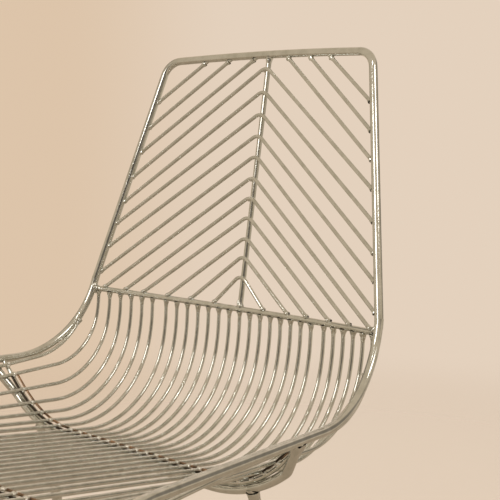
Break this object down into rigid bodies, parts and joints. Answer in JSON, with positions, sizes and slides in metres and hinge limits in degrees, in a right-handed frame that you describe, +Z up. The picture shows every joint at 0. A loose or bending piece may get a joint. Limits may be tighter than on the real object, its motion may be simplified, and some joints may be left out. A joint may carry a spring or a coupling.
{
  "type": "wire mesh chair",
  "caption": "Side chair of welded wire with a chevron back, a scooped seat of parallel wires and splayed rod legs.",
  "frame": {"origin": "middle of the chair's footprint box, on the floor", "axes": "+X to the right seen from the front, -Y the way the chair faces, +Z up"},
  "size_m": [0.5026, 0.5716, 0.8266],
  "materials": {
    "chrome_wire": "bright plated steel wire with a warm grey cast",
    "glide_plastic": "matte moulded plastic"
  },
  "bodies": {
    "root": {"rim_frame": "chrome_wire", "back_cross_wire": "chrome_wire", "spine_wire": "chrome_wire", "rear_seat_support": "chrome_wire", "front_seat_support": "chrome_wire", "rear_base_bar": "chrome_wire", "front_base_bar": "chrome_wire", "diagonal_wires_left": "chrome_wire", "diagonal_wires_right": "chrome_wire", "chevron_wire_01": "chrome_wire", "chevron_wire_02": "chrome_wire", "chevron_wire_03": "chrome_wire", "chevron_wire_04": "chrome_wire", "chevron_wire_05": "chrome_wire", "chevron_wire_06": "chrome_wire", "chevron_wire_07": "chrome_wire", "chevron_wire_08": "chrome_wire", "chevron_wire_09": "chrome_wire", "chevron_wire_10": "chrome_wire", "chevron_wire_11": "chrome_wire", "seat_wire_01": "chrome_wire", "seat_wire_02": "chrome_wire", "seat_wire_03": "chrome_wire", "seat_wire_04": "chrome_wire", "seat_wire_05": "chrome_wire", "seat_wire_06": "chrome_wire", "seat_wire_07": "chrome_wire", "seat_wire_08": "chrome_wire", "seat_wire_09": "chrome_wire", "seat_wire_10": "chrome_wire", "seat_wire_11": "chrome_wire", "seat_wire_12": "chrome_wire", "seat_wire_13": "chrome_wire", "seat_wire_14": "chrome_wire", "seat_wire_15": "chrome_wire", "seat_wire_16": "chrome_wire", "seat_wire_17": "chrome_wire", "seat_wire_18": "chrome_wire", "seat_wire_19": "chrome_wire", "seat_wire_20": "chrome_wire", "seat_wire_21": "chrome_wire", "seat_wire_22": "chrome_wire", "seat_wire_23": "chrome_wire", "seat_wire_24": "chrome_wire", "seat_wire_25": "chrome_wire", "seat_wire_26": "chrome_wire", "seat_wire_27": "chrome_wire", "seat_wire_28": "chrome_wire", "seat_wire_29": "chrome_wire", "leg_front_left": "chrome_wire", "foot_glide_front_left": "glide_plastic", "leg_rear_left": "chrome_wire", "foot_glide_rear_left": "glide_plastic", "leg_front_right": "chrome_wire", "foot_glide_front_right": "glide_plastic", "leg_rear_right": "chrome_wire", "foot_glide_rear_right": "glide_plastic"}
  },
  "joints": []
}
